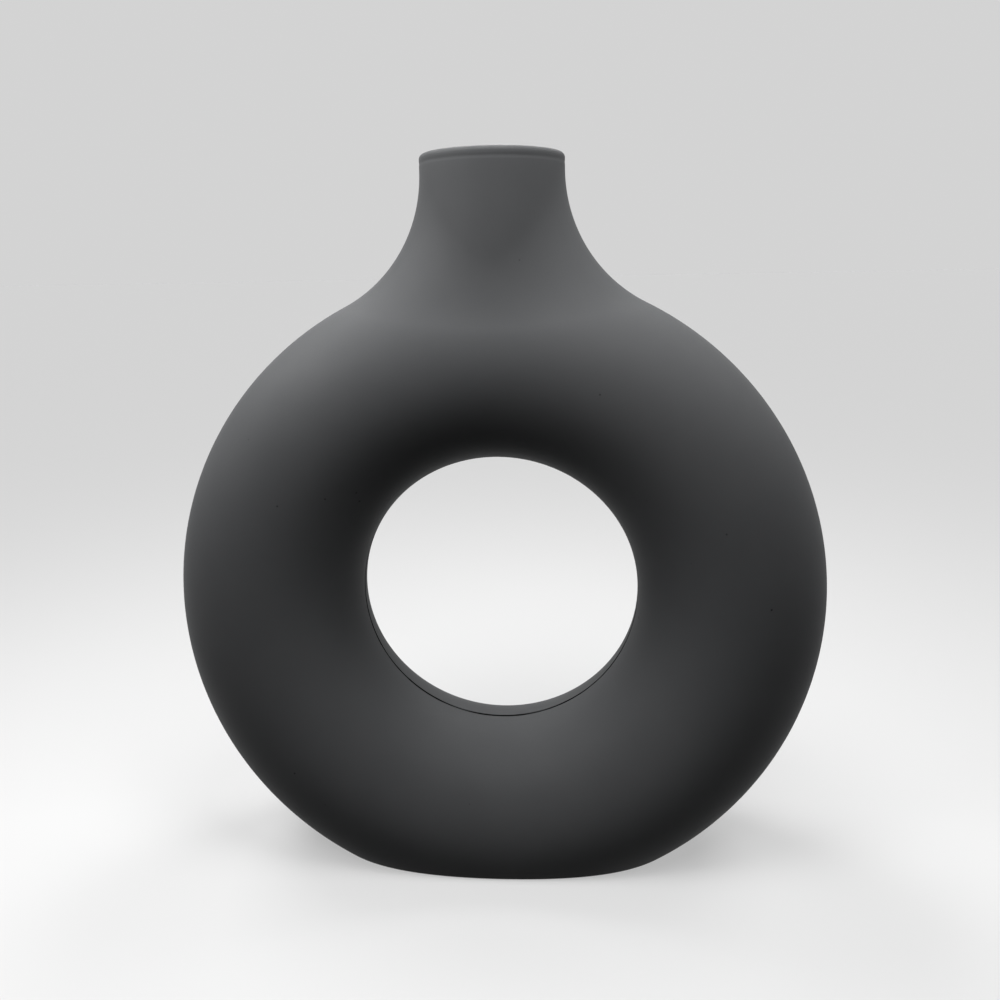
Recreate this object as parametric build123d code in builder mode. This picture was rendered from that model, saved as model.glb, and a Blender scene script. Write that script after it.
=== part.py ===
"""Ring-shaped flower vase in matte black ceramic, standing on edge, with a short round neck on top.

The body is pressed as two half shells, front and back, which are luted together along the middle plane.
The origin is on the table under the middle of the vase, +Z is up and +X runs along the ring's width.
"""
import os

from build123d import *

# Ring: a round tube bent into a closed circle, cut flat underneath to stand
ring_diameter = 220.0
tube_diameter = 62.5
base_cut = 19.0
base_round = 1.2

# Neck: straight at the mouth, then a wide hollow sweep down to the ring
neck_diameter = 46.8
neck_rise = 36.0
neck_straight = 5.0

# Lip: a rounded bead round the mouth, set off from the neck by a faint hollow crease
lip_height = 3.0
lip_round = 1.6
crease_width = 2.0
crease_depth = 0.08

# Wall of the two half shells
wall_thickness = 5.0
floor_thickness = 6.0

# Luted seam on the middle plane: an open hairline round the hole, and rubbed down almost flush outside
seam_width = 0.9
hole_seam_recess = 0.7
outer_seam_recess = 0.15

# Length by which every cutting shape runs past what it cuts
overrun = 10.0

ring_radius = ring_diameter / 2
tube_radius = tube_diameter / 2
tube_centre_radius = ring_radius - tube_radius
centre_height = ring_radius - base_cut
neck_radius = neck_diameter / 2
total_height = centre_height + ring_radius + neck_rise

# The sweep is the arc, seen from the front, that touches both the ring and the straight of the neck
sweep_start_rise = ring_radius + neck_rise - neck_straight
neck_sweep = (sweep_start_rise**2 + neck_radius**2 - ring_radius**2) / (ring_diameter - neck_diameter)

# The crease is the arc of its width and depth
crease_radius = (crease_width**2 / 4 + crease_depth**2) / (2 * crease_depth)


def vase_form(inset, bottom, top):
    """The vase's outer form moved inwards all round by inset, cut flat at bottom and ending at top."""
    crown = centre_height + tube_centre_radius
    with BuildPart() as form:
        with Locations((0, 0, centre_height)):
            Torus(tube_centre_radius, tube_radius - inset, rotation=(90, 0, 0))
        with BuildSketch(Plane.XY.offset(crown)):
            Circle(neck_radius - inset)
        extrude(amount=top - crown)
        neck_root = form.edges().filter_by(GeomType.BSPLINE)
        fillet(neck_root, radius=neck_sweep + inset)
        split(bisect_by=Plane.XY.offset(bottom), keep=Keep.TOP)
    return form.part


# The whole shell before it is parted: hollow, open at the mouth, with its lip rounded and its base edge eased
with BuildPart() as shell:
    add(vase_form(0, 0, total_height))
    base_edge = shell.faces().sort_by(Axis.Z)[0].edges()
    fillet(base_edge, radius=base_round)
    add(vase_form(wall_thickness, floor_thickness, total_height + overrun), mode=Mode.SUBTRACT)
    lip_edges = shell.edges().filter_by(GeomType.CIRCLE).group_by(Axis.Z)[-1]
    fillet(lip_edges, radius=lip_round)
    with BuildSketch(Plane.XZ):
        with Locations((neck_radius - crease_depth + crease_radius, total_height - lip_height)):
            Circle(crease_radius)
    revolve(axis=Axis.Z, mode=Mode.SUBTRACT)

# Front half shell: everything in front of the seam, one pressing with half of the mouth and half of the base
with BuildPart() as front_half:
    add(shell.part)
    split(bisect_by=Plane.XZ.offset(seam_width / 2), keep=Keep.TOP)

# Back half shell: the same pressing turned about, behind the seam
with BuildPart() as back_half:
    add(shell.part)
    split(bisect_by=Plane.XZ.offset(-seam_width / 2), keep=Keep.BOTTOM)


def seam_slip(recess):
    """The slip in the joint, largest hoop last: the wall between the halves, set below the surface by recess."""
    with BuildPart() as slip:
        add(shell.part)
        add(vase_form(recess, recess, total_height - recess), mode=Mode.INTERSECT)
        split(bisect_by=Plane.XZ.offset(seam_width / 2), keep=Keep.BOTTOM)
        split(bisect_by=Plane.XZ.offset(-seam_width / 2), keep=Keep.TOP)
    return slip.solids().sort_by(SortBy.VOLUME)


# Seam round the ring's hole: a closed hoop of slip
with BuildPart() as hole_seam:
    add(seam_slip(hole_seam_recess)[0])

# Seam round the outside: an open hoop of slip from one side of the mouth, under the base, to the other side
with BuildPart() as outer_seam:
    add(seam_slip(outer_seam_recess)[-1])

pieces = {
    "front_half": front_half,
    "back_half": back_half,
    "hole_seam": hole_seam,
    "outer_seam": outer_seam,
}
os.makedirs("parts", exist_ok=True)
for name, piece in pieces.items():
    piece.part.label = name
    export_step(piece.part, f"parts/{name}.step")
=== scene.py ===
"""Looks of a ring-shaped flower vase in matte black ceramic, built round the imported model.

Lengths are in metres. +Z is up through the neck, +X runs along the ring's width, and the front is at -Y.
"""
import math

import bmesh
import bpy
from mathutils import Matrix, Vector


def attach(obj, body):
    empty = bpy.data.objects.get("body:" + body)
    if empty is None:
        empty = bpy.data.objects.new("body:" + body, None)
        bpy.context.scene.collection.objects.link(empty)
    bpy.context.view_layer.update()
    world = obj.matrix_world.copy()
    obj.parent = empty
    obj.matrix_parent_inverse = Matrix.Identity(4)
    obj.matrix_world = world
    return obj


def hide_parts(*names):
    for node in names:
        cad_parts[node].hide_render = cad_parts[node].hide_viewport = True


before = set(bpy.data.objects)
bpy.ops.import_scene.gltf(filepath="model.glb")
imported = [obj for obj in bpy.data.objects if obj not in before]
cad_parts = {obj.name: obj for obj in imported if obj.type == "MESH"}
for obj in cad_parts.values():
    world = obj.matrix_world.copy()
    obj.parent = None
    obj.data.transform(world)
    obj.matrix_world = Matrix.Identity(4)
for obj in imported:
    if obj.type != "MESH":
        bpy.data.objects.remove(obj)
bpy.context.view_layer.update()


# Half shells, front and back. Each is one pressing in black-firing clay with a 5 mm wall: half of the ring,
# the neck and the flat base. The back one is the same pressing turned about, and the two are luted together
# on the middle plane. The outside has a matte black coat with a fine tooth.
mm = 0.001
ring_diameter = 220.0 * mm
tube_diameter = 62.5 * mm
base_cut = 19.0 * mm
neck_diameter = 46.8 * mm
neck_rise = 36.0 * mm
ring_centreline = (ring_diameter - tube_diameter) / 2
centre_height = ring_diameter / 2 - base_cut
total_height = ring_diameter - base_cut + neck_rise
shell_sizes = {
    "Ring centreline": ring_centreline,
    "Tube radius": tube_diameter / 2,
    "Centre height": centre_height,
    "Base round": 1.2 * mm,
    "Neck radius": neck_diameter / 2,
    "Neck straight": 5.0 * mm,
    "Total height": total_height,
    "Lip height": 3.0 * mm,
    "Lip round": 1.6 * mm,
    "Crease width": 2.0 * mm,
    "Crease depth": 0.08 * mm,
    "Wall": 5.0 * mm,
    "Floor": 6.0 * mm,
    "Seam width": 0.9 * mm,
    "Recess": 0.0,
}
neck_columns = 112
side_columns = 110
base_columns = 72
outer_rows = 72
inner_rows = 36
base_edge_rows = 6
base_flat_rows = 20
neck_rows = 8
crease_rows = 10
lip_rows = 3
bead_rows = 21
weld_distance = 0.004 * mm
crisp_edge_angle = math.radians(40.0)


def place_node(tree, kind, inputs=None, **options):
    """Adds a node, sets its options, and sets or links its inputs, which are given by name or number."""
    node = tree.nodes.new(kind)
    for option, value in options.items():
        setattr(node, option, value)
    for name, value in (inputs or {}).items():
        if isinstance(value, bpy.types.NodeSocket):
            tree.links.new(value, node.inputs[name])
        else:
            node.inputs[name].default_value = value
    return node


class Figure:
    """A number in a node tree, so that a shape can be written down as an ordinary formula."""

    def __init__(self, socket):
        self.socket = socket

    def reckon(self, operation, other=0.0):
        second = other.socket if isinstance(other, Figure) else other
        inputs = {0: self.socket, 1: second}
        node = place_node(self.socket.id_data, "ShaderNodeMath", inputs, operation=operation)
        return Figure(node.outputs["Value"])

    def __add__(self, other):
        return self.reckon("ADD", other)

    def __sub__(self, other):
        return self.reckon("SUBTRACT", other)

    def __mul__(self, other):
        return self.reckon("MULTIPLY", other)

    def __truediv__(self, other):
        return self.reckon("DIVIDE", other)

    def __neg__(self):
        return self * -1.0


def sine(angle):
    return angle.reckon("SINE")


def cosine(angle):
    return angle.reckon("COSINE")


def root(figure):
    return figure.reckon("SQRT")


def bearing(sideways, ahead):
    return sideways.reckon("ARCTAN2", ahead)


def between(start, end, share):
    return start + (end - start) * share


def new_tree(name, sizes, other_inputs, outputs):
    """An empty geometry tree with its inputs and outputs, and its Group Input node's sockets by name."""
    tree = bpy.data.node_groups.new(name, "GeometryNodeTree")
    for label, value in sizes.items():
        tree.interface.new_socket(label, in_out="INPUT", socket_type="NodeSocketFloat").default_value = value
    for label, kind in other_inputs.items():
        tree.interface.new_socket(label, in_out="INPUT", socket_type=kind)
    for label in outputs:
        tree.interface.new_socket(label, in_out="OUTPUT", socket_type="NodeSocketGeometry")
    given = place_node(tree, "NodeGroupInput")
    return tree, {socket.name: socket for socket in given.outputs if socket.name}


def build_vase_wall():
    """The wall of the front half as an open skin, and the flat face that closes it on the middle plane."""
    tree, given = new_tree("vase_wall", shell_sizes, {}, ["Wall", "Joint face"])
    size = {name: Figure(given[name]) for name in shell_sizes}
    position = place_node(tree, "GeometryNodeInputPosition").outputs["Position"]
    grid_place = place_node(tree, "ShaderNodeSeparateXYZ", {"Vector": position})
    across = Figure(grid_place.outputs["X"]) + 0.5
    along = Figure(grid_place.outputs["Y"]) + 0.5
    joint_plane = size["Seam width"] * -0.5
    patches = []

    def patch(columns, rows, point):
        """A grid of quads bent to a point that is a formula of across and along, in front of the joint."""
        x, y, z = point
        grid = place_node(tree, "GeometryNodeMeshGrid", {
            "Size X": 1.0, "Size Y": 1.0, "Vertices X": columns + 1, "Vertices Y": rows + 1})
        kept = y.reckon("MINIMUM", joint_plane)
        bent = place_node(tree, "ShaderNodeCombineXYZ", {"X": x.socket, "Y": kept.socket, "Z": z.socket})
        laid = place_node(tree, "GeometryNodeSetPosition", {
            "Geometry": grid.outputs["Mesh"], "Position": bent.outputs["Vector"]})
        patches.append(laid.outputs["Geometry"])

    def steady(number):
        """A number that is the same all over a patch."""
        return across * 0.0 + number

    # The hollow sweep under the neck is rolled by a ball that touches the ring and the neck. Its centre runs
    # on the spine, which is the same line for the outer and the inner skin.
    neck_turn = across * math.pi
    neck_cos = cosine(neck_turn)
    neck_sin = sine(neck_turn)
    neck = size["Neck radius"]
    ring_reach = size["Ring centreline"] + size["Tube radius"]
    sweep_rise = size["Total height"] - size["Neck straight"] - size["Centre height"]
    sweep = (sweep_rise * sweep_rise + neck * neck - ring_reach * ring_reach) / ((ring_reach - neck) * 2.0)
    spine_radius = neck + sweep
    ball_reach = size["Tube radius"] + sweep
    spine_x = spine_radius * neck_cos
    spine_y = spine_radius * neck_sin
    spine_off_tube = root(ball_reach * ball_reach - spine_y * spine_y)
    spine_reach = size["Ring centreline"] + spine_off_tube
    spine_z = root(spine_reach * spine_reach - spine_x * spine_x)
    touch_around = bearing(spine_x, spine_z)
    touch_over = bearing(spine_y, spine_off_tube)
    side_touch = bearing(spine_radius, sweep_rise)

    def turned(rows, radius, height):
        """A band round the neck, with a radius and a height that may change along it."""
        patch(neck_columns, rows, (radius * neck_cos, -(radius * neck_sin), height))

    def skin(inset, rows, base_round, floor, neck_top):
        """The vase's form moved inwards by inset: ring, sweep, neck and flat base."""
        tube = size["Tube radius"] - inset
        centreline = size["Ring centreline"]

        def on_ring(around, over):
            """A point around the ring from its top, and over the tube from its outside to the hole."""
            reach = centreline + tube * cosine(over)
            height = size["Centre height"] + reach * cosine(around)
            return reach * sine(around), -(tube * sine(over)), height

        # Ring under the neck, from the line where the sweep touches it to the hole
        to_hole = steady(math.pi)
        patch(neck_columns, rows, on_ring(touch_around, between(touch_over, to_hole, along)))

        # Sides of the ring, right and left, from the neck down to the base
        ball_depth = size["Centre height"] - floor - base_round
        base_swing = (ball_depth / (centreline + tube - base_round)).reckon("ARCCOSINE")
        side_around = between(side_touch, -base_swing + math.pi, across)
        for side_turn in (side_around, -side_around):
            patch(side_columns, rows, on_ring(side_turn, along * math.pi))

        # Foot of the ring, from the rounded edge of the base to the hole
        swing = base_swing * sine((across - 0.5) * math.pi)
        ball_reach_down = ball_depth / cosine(swing)
        ball_off_tube = ball_reach_down - centreline
        ball_span = tube - base_round
        ball_y = root((ball_span * ball_span - ball_off_tube * ball_off_tube).reckon("MAXIMUM", 0.0))
        foot_over = bearing(ball_y, ball_off_tube)
        patch(base_columns, rows, on_ring(-swing + math.pi, between(foot_over, to_hole, along)))

        # Rounded edge of the base, and the flat that it stands on
        ball_x = ball_reach_down * sine(swing)
        out_x = sine(swing) * cosine(foot_over) * (-along + 1.0)
        out_y = sine(foot_over) * (-along + 1.0)
        out_z = between(-(cosine(swing) * cosine(foot_over)), steady(-1.0), along)
        stretch = base_round / root(out_x * out_x + out_y * out_y + out_z * out_z)
        edge_y = -(ball_y + out_y * stretch)
        edge_z = floor + base_round + out_z * stretch
        patch(base_columns, base_edge_rows, (ball_x + out_x * stretch, edge_y, edge_z))
        patch(base_columns, base_flat_rows, (ball_x, -(ball_y * (-along + 1.0)), floor))

        # Sweep from the ring up into the neck, and the straight neck above it
        sweep_x = between(-(sine(touch_around) * cosine(touch_over)), -neck_cos, along)
        sweep_y = between(sine(touch_over), neck_sin, along)
        sweep_z = -(cosine(touch_around) * cosine(touch_over)) * (-along + 1.0)
        roll = (sweep + inset) / root(sweep_x * sweep_x + sweep_y * sweep_y + sweep_z * sweep_z)
        sweep_height = size["Centre height"] + spine_z
        patch(neck_columns, rows // 2, (
            spine_x + sweep_x * roll, -spine_y + sweep_y * roll, sweep_height + sweep_z * roll))
        turned(neck_rows, neck - inset, between(sweep_height, neck_top, along))

    recess = size["Recess"]
    lip_foot = size["Total height"] - size["Lip round"]
    crease_foot = size["Total height"] - size["Lip height"] - size["Crease width"] * 0.5
    crease_top = crease_foot + size["Crease width"]
    skin(recess, outer_rows, size["Base round"], recess, crease_foot)
    skin(size["Wall"], inner_rows, steady(0.0), size["Floor"], lip_foot)

    # Crease under the lip, the lip's short straight, and its bead over the wall to the inner skin
    crease_wave = sine(along * math.pi)
    crease_dip = size["Crease depth"] * crease_wave * crease_wave
    turned(crease_rows, neck - recess - crease_dip, between(crease_foot, crease_top, along))
    turned(lip_rows, neck - recess, between(crease_top, lip_foot, along))
    bead = size["Lip round"] - recess
    bead_turn = along * math.pi
    bead_outer = neck - size["Lip round"]
    bead_inner = neck - size["Wall"] + bead
    bead_centre = between(bead_outer, bead_inner, along.reckon("GREATER_THAN", 0.5))
    turned(bead_rows, bead_centre + bead * cosine(bead_turn), lip_foot + bead * sine(bead_turn))

    joined = place_node(tree, "GeometryNodeJoinGeometry")
    for skin_patch in patches:
        tree.links.new(skin_patch, joined.inputs["Geometry"])
    wall = place_node(tree, "GeometryNodeMergeByDistance", {
        "Geometry": joined.outputs["Geometry"], "Distance": weld_distance}).outputs["Geometry"]

    # The joint face fills the skin's open edges, which all lie on the joint plane
    neighbours = place_node(tree, "GeometryNodeInputMeshEdgeNeighbors").outputs["Face Count"]
    open_edge = place_node(tree, "FunctionNodeCompare", {
        2: neighbours, 3: 1}, data_type="INT", operation="EQUAL")
    outline = place_node(tree, "GeometryNodeMeshToCurve", {
        "Mesh": wall, "Selection": open_edge.outputs["Result"]})
    laid_flat = place_node(tree, "GeometryNodeTransform", {
        "Geometry": outline.outputs["Curve"], "Rotation": (-math.pi / 2, 0.0, 0.0)})
    filled = place_node(tree, "GeometryNodeFillCurve", {"Curve": laid_flat.outputs["Geometry"]})
    to_joint = place_node(tree, "ShaderNodeCombineXYZ", {"Y": joint_plane.socket})
    joint_face = place_node(tree, "GeometryNodeTransform", {
        "Geometry": filled.outputs["Mesh"], "Rotation": (math.pi / 2, 0.0, 0.0),
        "Translation": to_joint.outputs["Vector"]})
    place_node(tree, "NodeGroupOutput", {"Wall": wall, "Joint face": joint_face.outputs["Geometry"]})
    return tree


vase_wall = build_vase_wall()


def wall_in(tree, given):
    """The wall tree placed inside a piece's own tree, with the piece's sizes linked to it."""
    wall = place_node(tree, "GeometryNodeGroup", node_tree=vase_wall)
    for name in shell_sizes:
        tree.links.new(given[name], wall.inputs[name])
    return wall


def finish_tree(tree, mesh, given):
    """Ends a piece's tree: doubles welded, smooth faces with crisp corners, one plain mesh, its material."""
    welded = place_node(tree, "GeometryNodeMergeByDistance", {"Geometry": mesh, "Distance": weld_distance})
    angle = place_node(tree, "GeometryNodeInputMeshEdgeAngle").outputs["Unsigned Angle"]
    crisp = place_node(tree, "FunctionNodeCompare", {
        0: angle, 1: crisp_edge_angle}, operation="GREATER_THAN")
    smooth = place_node(tree, "GeometryNodeSetShadeSmooth", {
        "Geometry": welded.outputs["Geometry"], "Shade Smooth": True})
    edged = place_node(tree, "GeometryNodeSetShadeSmooth", {
        "Geometry": smooth.outputs["Geometry"], "Selection": crisp.outputs["Result"], "Shade Smooth": False},
        domain="EDGE")
    plain = place_node(tree, "GeometryNodeRealizeInstances", {"Geometry": edged.outputs["Geometry"]})
    coated = place_node(tree, "GeometryNodeSetMaterial", {
        "Geometry": plain.outputs["Geometry"], "Material": given["Material"]})
    place_node(tree, "NodeGroupOutput", {"Mesh": coated.outputs["Geometry"]})


def build_half_shell():
    """Wall and joint face of a half shell, turned about the upright for the back one."""
    tree, given = new_tree("half_shell", shell_sizes, {
        "Turn": "NodeSocketFloat", "Material": "NodeSocketMaterial"}, ["Mesh"])
    wall = wall_in(tree, given)
    closed = place_node(tree, "GeometryNodeJoinGeometry", {"Geometry": wall.outputs["Wall"]})
    tree.links.new(wall.outputs["Joint face"], closed.inputs["Geometry"])
    turn = place_node(tree, "ShaderNodeCombineXYZ", {"Z": given["Turn"]})
    turned_about = place_node(tree, "GeometryNodeTransform", {
        "Geometry": closed.outputs["Geometry"], "Rotation": turn.outputs["Vector"]})
    finish_tree(tree, turned_about.outputs["Geometry"], given)
    return tree


def make_piece(name, tree, inputs):
    """Runs a tree once and keeps its result as a plain mesh, with every face turned outwards."""
    maker = bpy.data.objects.new(name + "_maker", bpy.data.meshes.new(name + "_maker"))
    bpy.context.scene.collection.objects.link(maker)
    modifier = maker.modifiers.new(name, "NODES")
    modifier.node_group = tree
    for socket in tree.interface.items_tree:
        if socket.in_out == "INPUT" and socket.name in inputs:
            modifier[socket.identifier] = inputs[socket.name]
    evaluated = maker.evaluated_get(bpy.context.evaluated_depsgraph_get())
    mesh = bpy.data.meshes.new_from_object(evaluated)
    maker.modifiers.remove(modifier)
    bpy.data.objects.remove(maker)
    mesh.name = name
    faces = bmesh.new()
    faces.from_mesh(mesh)
    bmesh.ops.recalc_face_normals(faces, faces=faces.faces)
    faces.to_mesh(mesh)
    faces.free()
    piece = bpy.data.objects.new(name, mesh)
    bpy.context.scene.collection.objects.link(piece)
    return piece


def new_material(name):
    """A material with a Principled shader, and its node tree."""
    material = bpy.data.materials.new(name)
    material.use_nodes = True
    return material, material.node_tree, material.node_tree.nodes["Principled BSDF"]


def spread(figure, low, high, to_low=0.0, to_high=1.0):
    """The figure's range from low to high stretched over another range, and held at its ends."""
    stretched = place_node(figure.socket.id_data, "ShaderNodeMapRange", {
        "Value": figure.socket, "From Min": low, "From Max": high, "To Min": to_low, "To Max": to_high})
    return Figure(stretched.outputs["Result"])


def tinted(share, first, second):
    """A colour that goes from the first to the second as the share goes from 0 to 1."""
    mix = place_node(share.socket.id_data, "ShaderNodeMix", {
        0: share.socket, 6: first, 7: second}, data_type="RGBA")
    return mix.outputs[2]


noise_roughness = 0.55
cloud_detail = 4.0
cloud_range = (0.32, 0.68)
tooth_detail = 2.0
cells_without_pinhole = 0.93
pinhole_rim = (0.10, 0.04)


def build_fired_surface():
    """What fired clay shows up close: cloudy tone, the fine tooth of the coat, and pinholes left by gas."""
    tree = bpy.data.node_groups.new("fired_surface", "ShaderNodeTree")
    tree.interface.new_socket("Vector", in_out="INPUT", socket_type="NodeSocketVector")
    for label in ("Cloud scale", "Tooth scale", "Pinhole scale"):
        tree.interface.new_socket(label, in_out="INPUT", socket_type="NodeSocketFloat")
    for label in ("Cloud", "Tooth", "Pinholes"):
        tree.interface.new_socket(label, in_out="OUTPUT", socket_type="NodeSocketFloat")
    given = place_node(tree, "NodeGroupInput").outputs

    def noise(scale, detail):
        pattern = place_node(tree, "ShaderNodeTexNoise", {
            "Vector": given["Vector"], "Scale": given[scale], "Detail": detail, "Roughness": noise_roughness})
        return Figure(pattern.outputs[0])

    cloud = spread(noise("Cloud scale", cloud_detail), *cloud_range)
    tooth = noise("Tooth scale", tooth_detail)
    cells = place_node(tree, "ShaderNodeTexVoronoi", {
        "Vector": given["Vector"], "Scale": given["Pinhole scale"]})
    cell_draw = place_node(tree, "ShaderNodeSeparateColor", {"Color": cells.outputs["Color"]})
    few = Figure(cell_draw.outputs["Red"]).reckon("GREATER_THAN", cells_without_pinhole)
    pinholes = spread(Figure(cells.outputs["Distance"]), *pinhole_rim) * few
    place_node(tree, "NodeGroupOutput", {
        "Cloud": cloud.socket, "Tooth": tooth.socket, "Pinholes": pinholes.socket})
    return tree


fired_surface = build_fired_surface()


def fired_pattern(tree, cloud_scale, tooth_scale, pinhole_scale):
    """The fired surface placed in a material, and the place on the piece that it is read at."""
    place = place_node(tree, "ShaderNodeTexCoord").outputs["Object"]
    pattern = place_node(tree, "ShaderNodeGroup", {
        "Vector": place, "Cloud scale": cloud_scale, "Tooth scale": tooth_scale,
        "Pinhole scale": pinhole_scale}, node_tree=fired_surface).outputs
    return place, Figure(pattern["Cloud"]), Figure(pattern["Tooth"]), Figure(pattern["Pinholes"])


coat_dark = (0.0525, 0.0538, 0.0558, 1.0)
coat_light = (0.0610, 0.0621, 0.0639, 1.0)
coat_rubbed = (0.095, 0.096, 0.097, 1.0)
bare_foot = (0.078, 0.076, 0.073, 1.0)
pinhole_black = (0.014, 0.014, 0.015, 1.0)
# Painted shade: near black for the walls of the open joint round the hole, as the shade deep in the gap
painted_gap_shade = (0.007, 0.007, 0.0075, 1.0)
coat_cloud_scale = 16.0
slip_cloud_scale = 45.0
coat_tooth_scale = 1300.0
coat_pinhole_scale = 210.0
rub_scale = 150.0
rub_detail = 4.0
rub_patches = (0.45, 0.70)
hand_wave_scale = 28.0
hand_wave_detail = 1.0
coat_tooth_depth = 0.014 * mm
hand_wave_depth = 0.25 * mm
pinhole_depth = 0.03 * mm
dull_roughness = 0.64
satin_roughness = 0.58
tooth_roughness = 0.12
foot_roughness = 0.30
rub_polish = 0.06
rub_strength = 0.6
coat_reflection = 0.09
lip_rub_heights = (total_height - 1.7 * mm, total_height - 0.1 * mm)
base_rub_heights = (1.3 * mm, 0.4 * mm)
foot_heights = (0.25 * mm, 0.10 * mm)
# How far the painted joint shade reaches beside the joint, and the cloud range where it breaks off
gap_shade_reach = (0.62 * mm, 0.46 * mm)
gap_shade_breaks = (0.82, 0.48)

matte_black, coat_tree, coat = new_material("matte_black_coat")
coat_place, coat_cloud, coat_tooth, coat_pinholes = fired_pattern(
    coat_tree, coat_cloud_scale, coat_tooth_scale, coat_pinhole_scale)
coat_spot = place_node(coat_tree, "ShaderNodeSeparateXYZ", {"Vector": coat_place}).outputs
coat_height = Figure(coat_spot["Z"])

# Wear: the lip and the base edge are rubbed in patches, and the foot is bare
worn_edges = spread(coat_height, *lip_rub_heights).reckon("MAXIMUM", spread(coat_height, *base_rub_heights))
rub_noise = place_node(coat_tree, "ShaderNodeTexNoise", {
    "Vector": coat_place, "Scale": rub_scale, "Detail": rub_detail})
rubbed = worn_edges * spread(Figure(rub_noise.outputs[0]), *rub_patches)
foot = spread(coat_height, *foot_heights)

# Painted shade: round the hole the walls of the open joint, and a thin strip of coat beside them, are painted
# near black as the shade deep in the gap, except in stretches that are filled up with coat
beside_joint = spread(Figure(coat_spot["Y"]).reckon("ABSOLUTE"), *gap_shade_reach)
off_side = Figure(coat_spot["X"])
off_level = coat_height - centre_height
off_middle = root(off_side * off_side + off_level * off_level)
round_the_hole = off_middle.reckon("LESS_THAN", ring_centreline)
_, slip_cloud, _, _ = fired_pattern(coat_tree, slip_cloud_scale, coat_tooth_scale, coat_pinhole_scale)
gap_shade_share = beside_joint * round_the_hole * spread(slip_cloud, *gap_shade_breaks)

coat_tone = tinted(coat_cloud, coat_dark, coat_light)
coat_tone = tinted(rubbed * rub_strength, coat_tone, coat_rubbed)
coat_tone = tinted(foot, coat_tone, bare_foot)
coat_tone = tinted(coat_pinholes, coat_tone, pinhole_black)
# Painted shade: the open joint's walls round the hole go near black
coat_tone = tinted(gap_shade_share, coat_tone, painted_gap_shade)
coat_tree.links.new(coat_tone, coat.inputs["Base Color"])

coat_roughness = spread(coat_cloud, 0.0, 1.0, dull_roughness, satin_roughness)
coat_roughness = coat_roughness + (coat_tooth - 0.5) * tooth_roughness
coat_roughness = coat_roughness + foot * foot_roughness - rubbed * rub_polish
coat_tree.links.new(coat_roughness.socket, coat.inputs["Roughness"])

# Relief: the coat's tooth, the slow unevenness of a form finished by hand, and the pinholes
hand_waves = place_node(coat_tree, "ShaderNodeTexNoise", {
    "Vector": coat_place, "Scale": hand_wave_scale, "Detail": hand_wave_detail})
coat_relief = coat_tooth * coat_tooth_depth + Figure(hand_waves.outputs[0]) * hand_wave_depth
coat_relief = coat_relief - coat_pinholes * pinhole_depth
coat_bump = place_node(coat_tree, "ShaderNodeBump", {"Height": coat_relief.socket, "Distance": 1.0})
coat_tree.links.new(coat_bump.outputs["Normal"], coat.inputs["Normal"])
coat.inputs["Specular IOR Level"].default_value = coat_reflection

half_shell = build_half_shell()
for shell_name, shell_turn in (("front_half", 0.0), ("back_half", math.pi)):
    shell = make_piece(shell_name + "_shell", half_shell, {"Turn": shell_turn, "Material": matte_black})
    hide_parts(shell_name)
    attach(shell, "root")


# Slip in the joint. The halves are stuck together with thin black slip, which dries and shrinks below the
# surface: a closed hoop round the hole, left open there as a hairline, and an open hoop from the mouth, under
# the base, to the mouth again, which is rubbed down and coated with the halves.
hole_slip_recess = 0.7 * mm
outer_slip_recess = 0.15 * mm


def build_seam_hoop():
    """The joint face drawn back by the recess and thickened, parted into the inner and the outer hoop."""
    tree, given = new_tree("seam_hoop", shell_sizes, {
        "Round the hole": "NodeSocketBool", "Material": "NodeSocketMaterial"}, ["Mesh"])
    face = wall_in(tree, given).outputs["Joint face"]
    thickness = place_node(tree, "ShaderNodeCombineXYZ", {"Y": given["Seam width"]})
    raised = place_node(tree, "GeometryNodeExtrudeMesh", {
        "Mesh": face, "Offset": thickness.outputs["Vector"], "Individual": False})
    slab = place_node(tree, "GeometryNodeJoinGeometry", {"Geometry": raised.outputs["Mesh"]})
    tree.links.new(face, slab.inputs["Geometry"])
    position = place_node(tree, "GeometryNodeInputPosition").outputs["Position"]
    place = place_node(tree, "ShaderNodeSeparateXYZ", {"Vector": position})
    sideways = Figure(place.outputs["X"])
    upward = Figure(place.outputs["Z"]) - Figure(given["Centre height"])
    off_centre = root(sideways * sideways + upward * upward)
    inner = off_centre.reckon("LESS_THAN", Figure(given["Ring centreline"]))
    hoops = place_node(tree, "GeometryNodeSeparateGeometry", {
        "Geometry": slab.outputs["Geometry"], "Selection": inner.socket})
    chosen = place_node(tree, "GeometryNodeSwitch", {
        "Switch": given["Round the hole"]}, input_type="GEOMETRY")
    tree.links.new(hoops.outputs["Inverted"], chosen.inputs["False"])
    tree.links.new(hoops.outputs["Selection"], chosen.inputs["True"])
    finish_tree(tree, chosen.outputs["Output"], given)
    return tree


hairline_bare = (0.005, 0.005, 0.0055, 1.0)
hairline_filled = (0.050, 0.051, 0.052, 1.0)
hairline_reflection = 0.1
rubbed_bare = (0.034, 0.035, 0.036, 1.0)
rubbed_filled = (0.055, 0.056, 0.057, 1.0)
filled_stretches = (0.70, 0.98)
slip_tooth_scale = 900.0
slip_pinhole_scale = 300.0
slip_tooth_depth = 0.05 * mm
slip_tooth_range = (0.3, 0.7)
slip_roughness = (0.75, 0.95)


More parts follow.
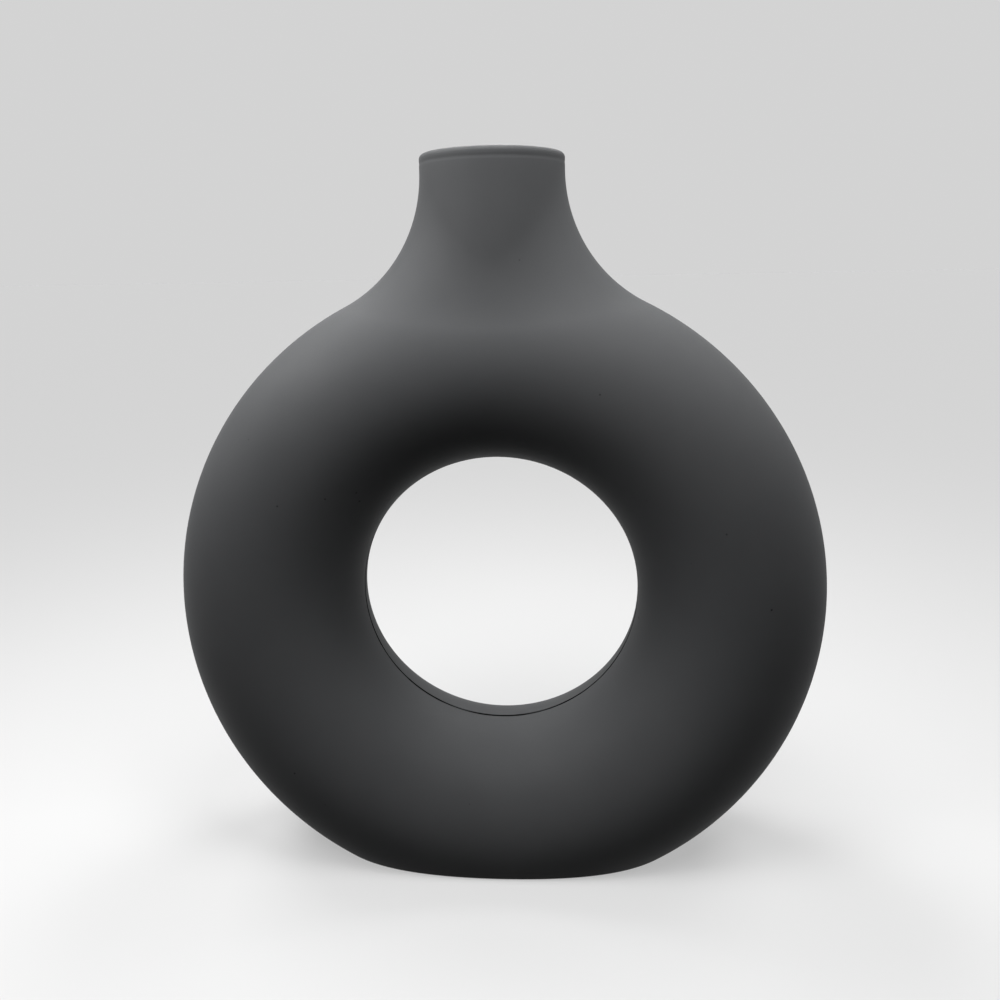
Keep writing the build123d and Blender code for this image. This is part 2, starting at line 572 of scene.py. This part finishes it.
def dried_slip(name, bare, filled, reflection):
    """Slip that is bare in most places and filled up with coat in others."""
    material, tree, shader = new_material(name)
    _, cloud, tooth, pinholes = fired_pattern(tree, slip_cloud_scale, slip_tooth_scale, slip_pinhole_scale)
    tone = tinted(spread(cloud, *filled_stretches), bare, filled)
    tone = tinted(pinholes, tone, pinhole_black)
    tree.links.new(tone, shader.inputs["Base Color"])
    tree.links.new(spread(tooth, *slip_tooth_range, *slip_roughness).socket, shader.inputs["Roughness"])
    relief = tooth * slip_tooth_depth - pinholes * pinhole_depth
    bump = place_node(tree, "ShaderNodeBump", {"Height": relief.socket, "Distance": 1.0})
    tree.links.new(bump.outputs["Normal"], shader.inputs["Normal"])
    shader.inputs["Specular IOR Level"].default_value = reflection
    return material


hairline_slip = dried_slip("hairline_slip", hairline_bare, hairline_filled, hairline_reflection)
rubbed_slip = dried_slip("rubbed_slip", rubbed_bare, rubbed_filled, coat_reflection)

seam_hoop = build_seam_hoop()
for seam_name, round_hole, recess, slip in (
        ("hole_seam", True, hole_slip_recess, hairline_slip),
        ("outer_seam", False, outer_slip_recess, rubbed_slip)):
    seam = make_piece(seam_name + "_slip", seam_hoop, {
        "Recess": recess, "Round the hole": round_hole, "Material": slip})
    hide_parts(seam_name)
    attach(seam, "root")


# Floor: one plain pale sheet that runs out of sight and keeps the vase's shadow. The camera, reflections and
# anything seen through a piece get its pale tone. It throws only a little light back up on the vase.
floor_reach = 20.0
floor_pale = (0.28, 0.28, 0.28, 1.0)
floor_bounce = (0.02, 0.02, 0.02, 1.0)
floor_lift = 0.45
white = (1.0, 1.0, 1.0, 1.0)


def rays_that_show(tree):
    """1 for the camera's rays and for rays that are mirrored or pass through a piece, and 0 for the rest."""
    rays = place_node(tree, "ShaderNodeLightPath").outputs
    seen = Figure(rays["Is Camera Ray"]).reckon("MAXIMUM", Figure(rays["Is Glossy Ray"]))
    return seen.reckon("MAXIMUM", Figure(rays["Is Transmission Ray"]))


floor_mesh = bpy.data.meshes.new("pale_floor")
floor_corners = [(-floor_reach, -floor_reach, 0.0), (floor_reach, -floor_reach, 0.0),
                 (floor_reach, floor_reach, 0.0), (-floor_reach, floor_reach, 0.0)]
floor_mesh.from_pydata(floor_corners, [], [(0, 1, 2, 3)])
floor = bpy.data.objects.new("pale_floor", floor_mesh)
bpy.context.scene.collection.objects.link(floor)
pale_paper, floor_tree, paper = new_material("pale_paper")
floor_shown = rays_that_show(floor_tree)
floor_tree.links.new(tinted(floor_shown, floor_bounce, floor_pale), paper.inputs["Base Color"])
paper.inputs["Emission Color"].default_value = white
floor_tree.links.new((floor_shown * floor_lift).socket, paper.inputs["Emission Strength"])
paper.inputs["Roughness"].default_value = 1.0
paper.inputs["Specular IOR Level"].default_value = 0.0
floor_mesh.materials.append(pale_paper)


# Light: round soft boxes above, in front, at the sides and behind, close to the neck, so that it weakens
# towards the foot. Two broad lamps further off, behind, light the floor and the shoulders. The surroundings
# have the floor's pale tone for the camera and in reflections.
box_aim = Vector((0.0, 0.0, 190.0)) * mm
box_distance = 290.0 * mm
box_width = 160.0 * mm
soft_boxes = {
    "top_box": (0.0, 70.0, 0.86),
    "left_box": (-52.0, 34.0, 0.86),
    "right_box": (36.0, 46.0, 0.70),
    "left_side_box": (-90.0, 30.0, 0.44),
    "right_side_box": (90.0, 30.0, 0.30),
    "back_box": (180.0, 50.0, 0.68),
}
lamp_breadth = math.radians(28.0)
far_lamps = {
    "back_left_lamp": (-130.0, 56.0, 0.50),
    "back_right_lamp": (130.0, 56.0, 0.34),
}
surroundings_pale = 0.653
surroundings_light = 0.03


def towards(azimuth, elevation):
    """The direction of a lamp in degrees, from the front towards the right, and upwards."""
    around = math.radians(azimuth)
    up = math.radians(elevation)
    return Vector((math.sin(around) * math.cos(up), -math.cos(around) * math.cos(up), math.sin(up)))


def hang_lamp(name, kind, direction):
    """A lamp of the given kind that shines from the given direction towards the vase."""
    lamp = bpy.data.objects.new(name, bpy.data.lights.new(name, kind))
    lamp.rotation_euler = direction.to_track_quat("Z", "Y").to_euler()
    lamp.visible_camera = False
    bpy.context.scene.collection.objects.link(lamp)
    return lamp


for box_name, (azimuth, elevation, strength) in soft_boxes.items():
    box_side = towards(azimuth, elevation)
    box = hang_lamp(box_name, "AREA", box_side)
    box.location = box_aim + box_side * box_distance
    box.data.shape = "DISK"
    box.data.size = box_width
    box.data.energy = strength * (math.pi * box_distance) ** 2

for lamp_name, (azimuth, elevation, strength) in far_lamps.items():
    lamp = hang_lamp(lamp_name, "SUN", towards(azimuth, elevation))
    lamp.data.angle = lamp_breadth
    lamp.data.energy = strength * math.pi

surroundings = bpy.data.worlds.new("pale_surroundings")
surroundings.use_nodes = True
bpy.context.scene.world = surroundings
sky_tree = surroundings.node_tree
sky = sky_tree.nodes["Background"]
sky_level = rays_that_show(sky_tree) * (surroundings_pale - surroundings_light) + surroundings_light
sky.inputs["Color"].default_value = white
sky_tree.links.new(sky_level.socket, sky.inputs["Strength"])
bpy.context.scene.view_settings.view_transform = "Standard"


# Camera: in front of the vase and a little to the right, level with the top of the ring, looking slightly
# down. It takes the picture to be square.
camera_place = Vector((21.531, -294.73, 200.785)) * mm
camera_pitch = 0.167
camera_yaw = -0.064
camera_roll = 0.018
sensor_width = 36.0
nearest_seen = 10.0 * mm
picture_width = 1000
lens_in_pixels = 890.017
optical_axis = (504.797, 418.49)

ahead = Vector((math.sin(camera_yaw) * math.cos(camera_pitch),
                math.cos(camera_yaw) * math.cos(camera_pitch), -math.sin(camera_pitch)))
right = Vector((math.cos(camera_yaw), -math.sin(camera_yaw), 0.0))
down = ahead.cross(right)
picture_right = right * math.cos(camera_roll) + down * math.sin(camera_roll)
picture_up = right * math.sin(camera_roll) - down * math.cos(camera_roll)
camera = bpy.data.objects.new("camera", bpy.data.cameras.new("camera"))
bpy.context.scene.collection.objects.link(camera)
camera.matrix_world = Matrix.Translation(camera_place) @ Matrix(
    (picture_right, picture_up, -ahead)).transposed().to_4x4()
camera.data.sensor_width = sensor_width
camera.data.lens = lens_in_pixels * sensor_width / picture_width
camera.data.shift_x = 0.5 - optical_axis[0] / picture_width
camera.data.shift_y = optical_axis[1] / picture_width - 0.5
camera.data.clip_start = nearest_seen
bpy.context.scene.camera = camera

bpy.context.view_layer.update()
